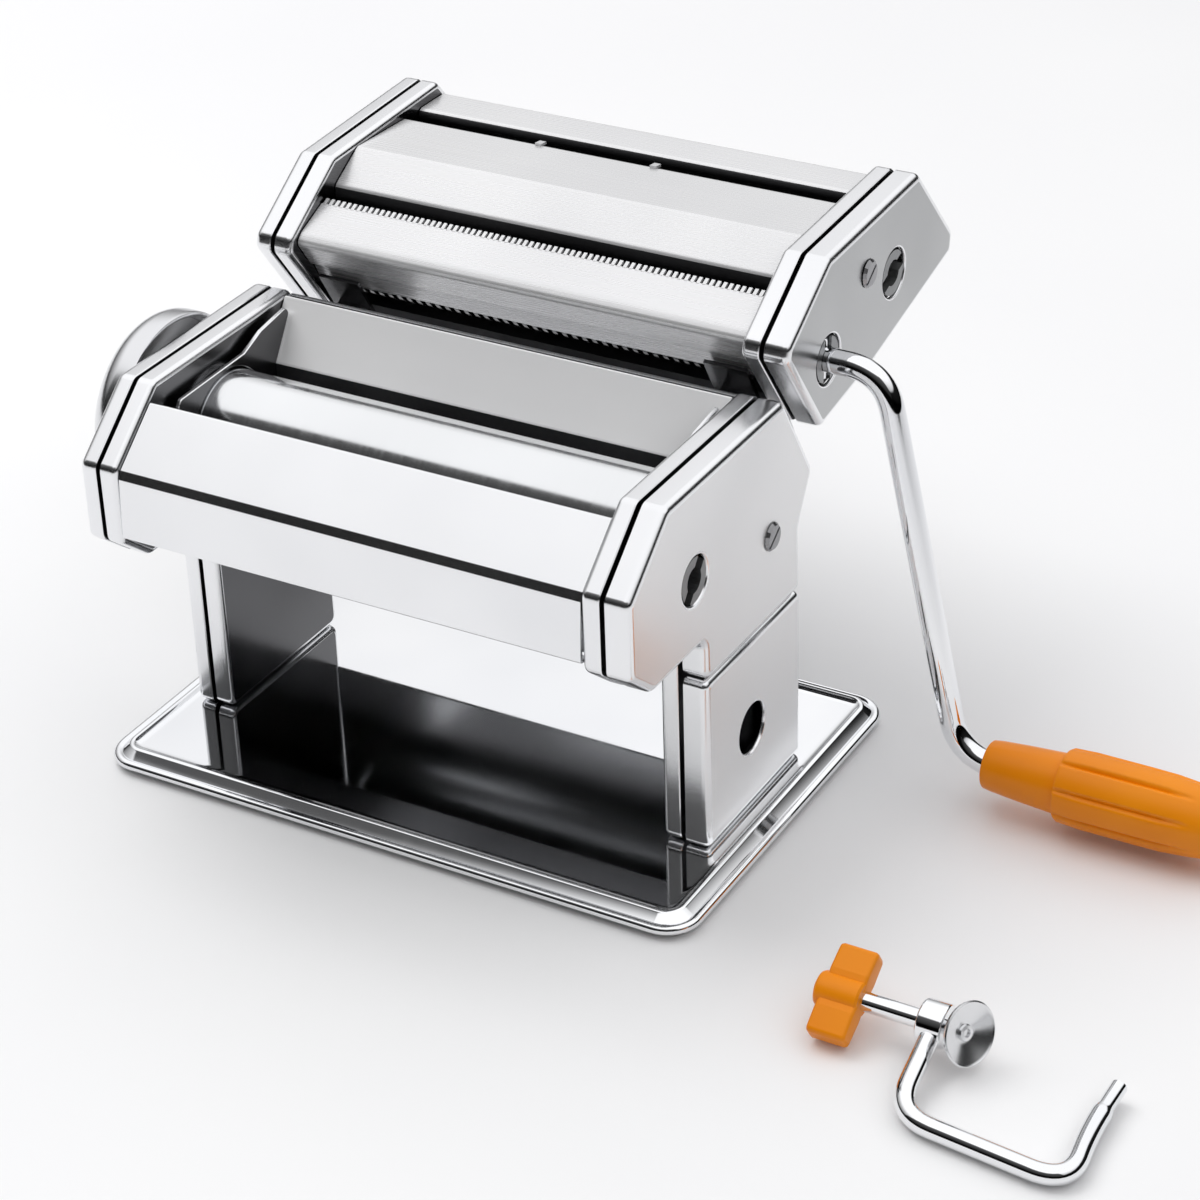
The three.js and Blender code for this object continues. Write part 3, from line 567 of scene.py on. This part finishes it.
def make_foot(node):
    centre = node_middle(node)
    bm = bmesh.new()
    section = [(6.2, 0.0), (7.1, 0.25), (7.5, 0.8), (7.4, 1.35), (3.6, 1.4), (3.45, 4.0)]
    loops = []
    for radius, z in [(3.5, 0.35), (4.3, 0.0), *section]:
        ring = circle((centre.x, centre.y), radius, 40)
        loops.append([Vector((point.x, point.y, z)) for point in ring])
    rings = loft(bm, loops)
    fill(bm, rings[0])
    fill(bm, rings[-1])
    finish_mesh(node + "_rubber", bm, RUBBER, "root", [node])


# ---- Cheeks -------------------------------------------------------------------------------


def make_shell(name, side, outline, face, edge, radius, body, holes=(), corner=3.5, face_material=None):
    bm = bmesh.new()
    pressed_shell(bm, outline, face, edge, radius, holes, corner)
    if SIDES[side] < 0:
        mirror_x(bm)
    node = f"{name}_{side}"
    return finish_mesh(f"{node}_shell", bm, SATIN, body, [node], others=[PAINTED_SHADE_STEEL, face_material or SATIN])


def cover_face(name, side):
    """How far out a cover's face stands."""
    low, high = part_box(f"{name}_{side}")
    return max(abs(low[0]), abs(high[0])) / MM


def make_cheek(side):
    """The body's side: an inner frame, a cover over the rollers and a cover over the leg."""
    frame_holes = [(FRONT_AXIS, 7.3, 0.3), (REAR_AXIS + Vector((-0.7, 0.7)), 6.8, 0.3)]
    clamp_holes = [(Vector((-2.2, 31.9)), 8.0, 0.8)] if side == "right" else []
    head_hole = (PINION_AXIS, 7.35, 1.0) if side == "right" else (FRONT_AXIS, 6.5, 0.5)
    make_shell(
        "side_frame", side, BODY_OUTLINE, FRAME_IN, FRAME_OUT, 1.8, "root", frame_holes + clamp_holes,
        face_material=SHADED)
    head_face, leg_face = cover_face("head_cover", side), cover_face("leg_cover", side)
    head = make_shell("head_cover", side, HEAD_OUTLINE, head_face, COVER_IN, 2.3, "root", [head_hole], 3.5, COVER_FACE)
    leg = make_shell("leg_cover", side, LEG_OUTLINE, leg_face, COVER_IN, 2.3, "root", clamp_holes, 2.5, COVER_FACE)
    low, high = sorted((SIDES[side] * 80, SIDES[side] * (head_face - PLATE - 1)))
    inside = (LEG_FRONT + 2.2, LEG_BACK - 2.2)
    carve(head, (low, inside[0], HEAD_SEAM_Z - 2), (high, inside[1], HEAD_SEAM_Z + 4))
    carve(leg, (low, inside[0], HEAD_SEAM_Z - 4), (high, inside[1], HEAD_SEAM_Z + 2))


def make_cutter_cheek(side):
    """The cutter head's side: a frame that carries the rollers, and its cover."""
    axes = (NARROW_AXIS, NARROW_MATE_AXIS, WIDE_AXIS, WIDE_MATE_AXIS)
    journals = [(axis, 4.8, 0.3) for axis in axes]
    sockets = [(NARROW_AXIS, 7.7, 0.6), (WIDE_AXIS, 7.7, 0.6)] if side == "right" else []
    face = cover_face("cutter_cover", side)
    make_shell(
        "cutter_frame", side, CUTTER_OUTLINE, FRAME_IN, FRAME_OUT, 1.8, "cutter_head", journals, face_material=SHADED)
    # The cover's face takes the darker painted reflection.
    make_shell("cutter_cover", side, CUTTER_OUTLINE, face, COVER_IN, 2.3, "cutter_head", sockets, 3.5, PAINTED_REFLECTION_FACE)


def make_side_guide(side):
    """A thin plate at each end of the hopper, cut round the rollers."""
    outline = fillet(GUIDE_OUTLINE[:-1], 1.2, 3, closed=False)
    outline += [Vector(GUIDE_OUTLINE[-1])]
    centre, radius = FRONT_AXIS, 18.1
    start = math.atan2(*reversed(outline[-1] - centre)) % (2 * math.pi)
    end = math.atan2(*reversed(outline[0] - centre))
    steps = 28
    for i in range(steps + 1):
        angle = start + (end - start) * i / steps
        outline.append(centre + Vector((math.cos(angle), math.sin(angle))) * radius)
    low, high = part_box(f"side_guide_{side}")
    inner = min(abs(low[0]), abs(high[0])) / MM
    bm = bmesh.new()
    loops = [(inner, 0.25), (inner + 0.25, 0.0), (inner + 1.05, 0.0), (inner + 1.3, 0.25)]
    rings = loft(bm, [at_x(shifted(outline, inset, True), SIDES[side] * x) for x, inset in loops])
    fill(bm, rings[0])
    fill(bm, rings[-1])
    for flat in faces_at(bm, SIDES[side] * inner):
        flat.material_index = 1
    node = f"side_guide_{side}"
    finish_mesh(f"{node}_plate", bm, SATIN, "root", [node], others=[SHADED])


# ---- Sheets -------------------------------------------------------------------------------


def shade_faces(bm, in_shade):
    """Gives the faces that lie inside the machine the second material, whose near-black colour is painted shade."""
    for face in bm.faces:
        if in_shade(face.calc_center_median()):
            face.material_index = 1


def make_sheet(node, points, bend, material, body, in_shade=lambda point: False):
    bm = bmesh.new()
    folded_sheet(bm, points, bend)
    shade_faces(bm, in_shade)
    return finish_mesh(f"{node}_sheet", bm, material, body, [node], others=[PAINTED_SHADE_STEEL])


def add_block(bm, corners, low, high):
    """A prism of a (y, z) outline between two x planes."""
    rings = loft(bm, [at_x([Vector(corner) for corner in corners], x) for x in (low, high)])
    fill(bm, rings[0])
    fill(bm, rings[1])


def make_toothed_front():
    """The cutter head's front sheet: teeth along its upper edge, a round nose and a low apron."""
    edge, fold = Vector(CUTTER_NOSE[0]), Vector(CUTTER_NOSE[1])
    inwards = (fold - edge).normalized()
    root = edge + inwards * 2.3
    bm = bmesh.new()
    folded_sheet(bm, [root, *CUTTER_NOSE[1:]], 5.0)
    folded_sheet(bm, CUTTER_APRON, 1.0)
    down = Vector((-inwards.y, inwards.x)) * 0.8
    tooth = [root + inwards * 0.5, root + inwards * 0.5 + down, edge + down, edge]
    for i in range(int(2 * PANEL_END / TOOTH_PITCH)):
        low = -PANEL_END + 0.4 + i * TOOTH_PITCH
        add_block(bm, tooth, low, low + TOOTH_PITCH * 0.55)
    finish_mesh("cutter_front_plate_sheet", bm, BRUSHED, "cutter_head", ["cutter_front_plate"])


def make_roof():
    """The roof sheet, with two small tabs standing in the rear slot."""
    bm = bmesh.new()
    folded_sheet(bm, ROOF, 2.5)
    edge = Vector(ROOF[1])
    for x in (-28.0, 12.0):
        tab = [edge + Vector((-1.5, 0.1)), edge + Vector((1.6, -0.3)), edge + Vector((1.6, 0.5)), edge + Vector((-1.5, 0.9))]
        add_block(bm, tab, x, x + 2.2)
    # The front lip and the rear wall of the roof, down in the slots, are painted near black as shade.
    shade_faces(bm, lambda point: point.z < 151.0 or point.y > 88.4)
    finish_mesh("cutter_roof_sheet", bm, BRUSHED, "cutter_head", ["cutter_roof"], others=[PAINTED_SHADE_STEEL])


def make_sheets():
    make_sheet("front_panel", FRONT_PANEL, 0.9, SATIN, "root")
    # The feed plate's lower strip beside the roller is painted near black as shade.
    make_sheet("feed_plate", FEED_PLATE, 1.6, PALE, "root", in_shade=lambda point: point.z < 109.6)
    make_sheet("rear_panel", REAR_PANEL, 2.5, SATIN, "root")
    # The back plate's lip in the slot is painted near black as shade.
    make_sheet(
        "cutter_back_plate", CUTTER_BACK, 2.0, BRUSHED, "cutter_head",
        in_shade=lambda point: point.y < 99 and point.z < 157.6)
    make_roof()
    make_toothed_front()


# ---- Rollers ------------------------------------------------------------------------------


def make_roller(node, body, axis, radius, journal):
    """A smooth roller with softened ends and its two journals."""
    low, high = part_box(node)
    left, right = low[0] / MM, high[0] / MM
    profile = soft_profile([
        (left, 0.01), (left, journal), (-ROLLER_END, journal), (-ROLLER_END, radius), (ROLLER_END, radius),
        (ROLLER_END, journal), (right, journal), (right, 0.01)], 0.8)
    bm = bmesh.new()
    lathe(bm, axis, profile, 96)
    finish_mesh(f"{node}_turned", bm, TURNED, body, [node])


def make_cutter(node, body, axis, pitch, offset):
    """A cutting roller with square ring grooves; its mate's rings run in its grooves."""
    low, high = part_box(node)
    left, right = low[0] / MM, high[0] / MM
    end = ROLLER_END
    profile = [(left, 0.01), (left, 4.3), (left + 0.3, 4.5), (-end, 4.5), (-end, 9.1)]
    x = -end + 1.0 + offset
    while x + pitch / 2 < end - 0.5:
        profile += [(x, 9.1), (x, 10.15), (x + pitch / 2 - 0.25, 10.15), (x + pitch / 2 - 0.25, 9.1)]
        x += pitch
    profile += [(end, 9.1), (end, 4.5), (right - 0.3, 4.5), (right, 4.3), (right, 0.01)]
    bm = bmesh.new()
    lathe(bm, axis, profile, 48)
    finish_mesh(f"{node}_rings", bm, SHADED, body, [node])


def make_rollers():
    make_roller("front_roller", "front_roller_set", FRONT_AXIS, 17.5, 5)
    make_roller("rear_roller", "rear_roller_set", REAR_AXIS, 17.5, 5)
    narrow, wide = 3.4, 13.0
    make_cutter("narrow_cutter", "narrow_driven_set", NARROW_AXIS, narrow, 0)
    make_cutter("narrow_cutter_mate", "narrow_mate_set", NARROW_MATE_AXIS, narrow, narrow / 2)
    make_cutter("wide_cutter", "wide_driven_set", WIDE_AXIS, wide, 0)
    make_cutter("wide_cutter_mate", "wide_mate_set", WIDE_MATE_AXIS, wide, wide / 2)


# ---- Knob, crank and clamp ----------------------------------------------------------------


def make_knob():
    """The thickness knob: a domed cap with a skirt, hollow underneath round its hub."""
    low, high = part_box("thickness_knob")
    rim, top = -high[0] / MM, -low[0] / MM
    radius, skirt = (high[2] - low[2]) / 2 / MM, 5.0
    profile = [(rim + 1, 0.01), (rim + 1, 7.5), (top - 8, 7.5), (top - 6, 16), (rim + skirt, radius - 2.5)]
    profile += [(rim + 0.4, radius - 1.8), (rim, radius - 1.2), (rim + 0.1, radius - 0.4), (rim + 0.8, radius)]
    for i in range(19):
        angle = math.pi / 2 * i / 18
        profile.append((rim + skirt + (top - rim - skirt) * math.sin(angle), max(0.01, radius * math.cos(angle))))
    bm = bmesh.new()
    lathe(bm, FRONT_AXIS, profile, 96)
    mirror_x(bm)
    finish_mesh("thickness_knob_cap", bm, SOFT_CHROME, "setting_knob", ["thickness_knob"], 50)


def crank_point(x, distance):
    """A point of the crank, by how far it stands out and its distance from the crank's axis."""
    return Vector((x, NARROW_AXIS.x - distance * math.sin(CRANK_LEAN), NARROW_AXIS.y - distance * math.cos(CRANK_LEAN)))


def make_crank():
    low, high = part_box("crank_rod")
    start, end = low[0] / MM, high[0] / MM
    corners = [crank_point(start, 0), crank_point(108.7, 0), crank_point(139.2, CRANK_THROW), crank_point(end, CRANK_THROW)]
    bm = bmesh.new()
    tube(bm, bent_path(corners, 12.5, 14), 3.75, 32)
    pin_ends = [crank_point(88.7, distance) for distance in (-6.2, -5.9, 5.9, 6.2)]
    tube(bm, pin_ends, 1.5, 20, lambda share: 1 if 0.1 < share < 0.9 else 0.75)
    finish_mesh("crank_rod_bar", bm, CHROME, "crank", ["crank_rod"])


def flute(x, radius, angle):
    """Eight narrow grooves along the thick part of the grip only."""
    start, end = 172.5, 212.0
    share = min(max((x - start) / 1.5, 0), 1) * min(max((end - x) / 3, 0), 1)
    from_groove = abs((angle * 8 / (2 * math.pi)) % 1 - 0.5) * 2
    return radius - 1.1 * share * max(0.0, 1 - from_groove / 0.24)


def make_grip():
    low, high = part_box("crank_grip")
    start, end = low[0] / MM, high[0] / MM
    outer = [
        (start, 5.5), (start, 6.9), (start + 0.4, 7.3), (start + 3, 7.7), (160, 8.4), (171, 9.1), (172.4, 9.3),
        (172.6, 10.6), (173.4, 11.1), (180, 11.5), (188, 11.5), (197, 11.5), (205, 11.4), (211, 10.9),
        (214, 10.6), (221, 9.6), (224, 8.6), (end - 0.6, 7.0), (end, 5.0), (end, 2.0), (end - 0.6, 0.01),
    ]
    bm = bmesh.new()
    lathe(bm, GRIP_AXIS, outer, 160, flute)
    finish_mesh("crank_grip_handle", bm, ORANGE, "grip", ["crank_grip"], 40)


def make_clamp():
    height, y = CLAMP_AXIS.y, CLAMP_AXIS.x
    corners = [(184, y + 1, height), (184, -81, 9.9), (186, -108, 3.2), (236, -113, 3.2), (233, -91, 3.2)]
    corners.append((233.5, -73, 4.4))
    bm = bmesh.new()
    tube(bm, bent_path(corners, 11, 12), 2.9, 28, lambda share: 1 if share < 0.98 else 0.8)
    eye = soft_profile([(180, 3.1), (180, 6.2), (187.5, 6.2), (187.5, 3.1)], 0.8)
    lathe_ring(bm, CLAMP_AXIS, eye)
    finish_mesh("clamp_frame_rod", bm, CHROME, "clamp", ["clamp_frame"])
    make_clamp_screw()
    make_clamp_pad()
    make_clamp_knob()


def lathe_ring(bm, centre, profile, segments=40):
    """A lathe profile that closes on itself, such as a bush."""
    loops = []
    for x, radius in profile:
        loops.append(at_x(circle(centre, radius, segments), x))
    rings = loft(bm, loops)
    bridge(bm, rings[-1], rings[0])


def make_clamp_screw():
    """The screw, with its peened end showing behind the pad."""
    low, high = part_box("clamp_screw")
    start, end = low[0] / MM, high[0] / MM
    profile = [(start, 0.01), (start, 2.5), (start + 0.4, 2.74), (end - 2.4, 2.74), (end - 1.9, 2.1), (end, 2.1)]
    bm = bmesh.new()
    lathe(bm, CLAMP_AXIS, [*profile, (end, 0.01)], 32)
    finish_mesh("clamp_screw_rod", bm, CHROME, "screw", ["clamp_screw"], 60)


def make_clamp_pad():
    """A dished pad with the screw's peened end in its middle; it is loose and lies askew."""
    profile = [(-1.2, 0.01), (-1.2, 2.0), (0.1, 2.2), (0.1, 3.8), (1.7, 8.4), (2.3, 8.9), (2.9, 9.0), (3.1, 8.6)]
    profile += [(2.7, 8.0), (1.2, 3.4), (1.1, 2.4), (1.7, 2.1), (1.8, 1.2), (1.2, 1.0), (1.2, 0.01)]
    bm = bmesh.new()
    lathe(bm, (0, 0), profile, 64)
    askew = Vector((1, 0, 0)).rotation_difference(Vector(PAD_FACING))
    for vertex in bm.verts:
        vertex.co = askew @ vertex.co + Vector((PAD_X, *CLAMP_AXIS))
    finish_mesh("clamp_pad_cup", bm, SOFT_CHROME, "pad", ["clamp_pad"], 25)


def make_clamp_knob():
    """A wing knob: two thick lobes with a waist and a round hub over the screw."""
    low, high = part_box("clamp_knob")
    start, end = low[0] / MM, high[0] / MM
    half = [(-13.3, -3.2), (-5.5, -3.8), (0, -3.0), (5.5, -3.8), (13.3, -3.2)]
    outline = fillet([Vector(point) for point in half + [(-u, -v) for u, v in half]], 1.5, 4)
    turned = [Matrix.Rotation(WING_TILT, 2) @ point + CLAMP_AXIS for point in outline]
    outer = start + HUB_REACH
    bm = bmesh.new()
    sections = [(outer, 1.1), (outer + 0.35, 0.35), (outer + 1.1, 0), (end - 1.1, 0), (end - 0.35, 0.35), (end, 1.1)]
    rings = loft(bm, [at_x(shifted(turned, inset, True), x) for x, inset in sections])
    fill(bm, rings[0])
    fill(bm, rings[-1])
    hub = [(start, 0.01), (start, 3.4), (start + 0.5, 4.6), (start + 1.4, 5.1), (end - 0.8, 5.1), (end - 0.2, 4.5)]
    lathe(bm, CLAMP_AXIS, [*hub, (end - 0.2, 0.01)], 40)
    finish_mesh("clamp_knob_wing", bm, ORANGE, "screw", ["clamp_knob"], 40)


# ---- CAD nodes that keep their shape ------------------------------------------------------


def dress_frame():
    """Every CAD node that still shows gets the procedural material of its slot."""
    slots = {part["node"]: part["material_slot"] for part in frame["record"]["subparts"]}
    for name, node in frame["nodes"].items():
        material = SLOT_MATERIALS[slots[name]]
        if name.startswith(SHADED_NODES):
            material = SHADED
        # The combs take the near-black painted shade.
        if name in COMBS_IN_PAINTED_SHADE:
            material = PAINTED_SHADE_STEEL
        for slot in node.material_slots:
            slot.material = material


# ---- Camera, floor and light --------------------------------------------------------------


def make_camera():
    """Stands at the photograph's viewpoint: angles in degrees, distance in millimetres."""
    azimuth, elevation, roll = math.radians(30.53), math.radians(30.8), math.radians(-2.01)
    target, distance = Vector((39.82, 0, 60.27)), 948.61
    back = Vector((
        math.sin(azimuth) * math.cos(elevation), -math.cos(azimuth) * math.cos(elevation), math.sin(elevation)))
    camera = bpy.data.objects.new("camera", bpy.data.cameras.new("camera"))
    camera.data.lens = 97.27
    camera.data.sensor_width = 36
    camera.location = (target + back * distance) * MM
    camera.rotation_mode = "QUATERNION"
    camera.rotation_quaternion = back.to_track_quat("Z", "Y") @ Matrix.Rotation(roll, 3, "Z").to_quaternion()
    bpy.context.scene.collection.objects.link(camera)
    bpy.context.scene.camera = camera


def make_floor():
    bm = bmesh.new()
    reach = 6.0
    bm.faces.new([bm.verts.new((x * reach, y * reach, -0.0002)) for x, y in ((-1, -1), (1, -1), (1, 1), (-1, 1))])
    mesh = bpy.data.meshes.new("floor")
    bm.to_mesh(mesh)
    bm.free()
    material, nodes, links, shader = new_material("pale_floor")
    shade = shades(nodes, links, noise(nodes, links, 3.0, 2.0), (0.86, 0.86, 0.87), (0.9, 0.9, 0.9))
    links.new(shade, shader.inputs["Base Color"])
    shader.inputs["Roughness"].default_value = 0.6
    mesh.materials.append(material)
    floor = bpy.data.objects.new("floor", mesh)
    bpy.context.scene.collection.objects.link(floor)


def calculate(nodes, links, operation, *values):
    """A math node whose inputs are numbers or other nodes' outputs."""
    node = nodes.new("ShaderNodeMath")
    node.operation = operation
    for socket, value in zip(node.inputs, values):
        if isinstance(value, bpy.types.NodeSocket):
            links.new(value, socket)
        else:
            socket.default_value = value
    return node.outputs["Value"]


def soft_step(nodes, links, value, start, end):
    """Rises smoothly from 0 to 1 between two values, which may be given in falling order."""
    node = nodes.new("ShaderNodeMapRange")
    node.interpolation_type = "SMOOTHSTEP"
    node.inputs["From Min"].default_value = start
    node.inputs["From Max"].default_value = end
    links.new(value, node.inputs["Value"])
    return node.outputs["Result"]


def make_world():
    """A white tent overhead that darkens to the horizon, with black flags to the right and in front.

    Chrome mirrors the horizon and the flags as the dark lines along its rounded edges."""
    world = bpy.data.worlds.new("studio")
    world.use_nodes = True
    nodes, links = world.node_tree.nodes, world.node_tree.links
    place = nodes.new("ShaderNodeTexCoord")
    split = nodes.new("ShaderNodeSeparateXYZ")
    links.new(place.outputs["Generated"], split.inputs["Vector"])
    ramp = nodes.new("ShaderNodeValToRGB")
    forward = calculate(nodes, links, "MULTIPLY_ADD", split.outputs["Y"], 0.18, split.outputs["Z"])
    links.new(forward, ramp.inputs["Fac"])
    stops = [(0.0, 0.01), (0.12, 0.015), (0.24, 0.25), (0.45, 0.5), (0.6, 0.8), (0.72, 1.0)]
    while len(ramp.color_ramp.elements) < len(stops):
        ramp.color_ramp.elements.new(0.5)
    for element, (position, shade) in zip(ramp.color_ramp.elements, stops):
        element.position = position
        element.color = (shade, shade, shade * 1.01, 1)
    flag = nodes.new("ShaderNodeVectorMath")
    flag.operation = "DOT_PRODUCT"
    flag.inputs[1].default_value = (0.86, 0.5, 0.0)
    links.new(place.outputs["Generated"], flag.inputs[0])
    across = soft_step(nodes, links, flag.outputs["Value"], 0.35, 0.5)
    below = soft_step(nodes, links, split.outputs["Z"], 0.48, 0.4)
    both = calculate(nodes, links, "MULTIPLY", across, below)
    lit = calculate(nodes, links, "MULTIPLY_ADD", both, -0.98, 1.0)
    near = soft_step(nodes, links, split.outputs["Y"], -0.4, -0.47)
    low = soft_step(nodes, links, split.outputs["Z"], 0.79, 0.73)
    front = calculate(nodes, links, "MULTIPLY", near, low)
    bare = calculate(nodes, links, "MULTIPLY_ADD", front, -1.03, 1.15)
    strength = calculate(nodes, links, "MULTIPLY", lit, bare)
    background = nodes["Background"]
    plain = nodes.new("ShaderNodeBackground")
    plain.inputs["Color"].default_value = (0.8, 0.8, 0.81, 1)
    seen = nodes.new("ShaderNodeLightPath")
    mix = nodes.new("ShaderNodeMixShader")
    links.new(ramp.outputs["Color"], background.inputs["Color"])
    links.new(strength, background.inputs["Strength"])
    links.new(seen.outputs["Is Camera Ray"], mix.inputs["Fac"])
    links.new(background.outputs["Background"], mix.inputs[1])
    links.new(plain.outputs["Background"], mix.inputs[2])
    links.new(mix.outputs["Shader"], nodes["World Output"].inputs["Surface"])
    bpy.context.scene.world = world


def make_light(name, location, target, size, power):
    light = bpy.data.objects.new(name, bpy.data.lights.new(name, "AREA"))
    light.data.shape = "RECTANGLE"
    light.data.size, light.data.size_y = size
    light.data.energy = power
    light.location = location
    light.visible_glossy = False  # the metal mirrors the tent, not the lamps
    light.rotation_mode = "QUATERNION"
    light.rotation_quaternion = (Vector(location) - Vector(target)).to_track_quat("Z", "Y")
    bpy.context.scene.collection.objects.link(light)


def make_studio():
    make_camera()
    make_floor()
    make_world()
    make_light("key", (-0.9, 0.1, 1.6), (0, 0, 0.05), (1.2, 1.2), 12)
    make_light("fill", (1.2, -1.6, 1.4), (0, 0, 0.05), (1.0, 1.0), 5.5)
    bpy.context.scene.view_settings.view_transform = "Standard"


# ---- Assembly -----------------------------------------------------------------------------

make_base()
for foot in ("front_right", "front_left", "back_right", "back_left"):
    make_foot(f"foot_{foot}")
for cheek in SIDES:
    make_cheek(cheek)
    make_cutter_cheek(cheek)
    make_side_guide(cheek)
make_sheets()
make_rollers()
make_knob()
make_crank()
make_grip()
make_clamp()
dress_frame()
make_studio()
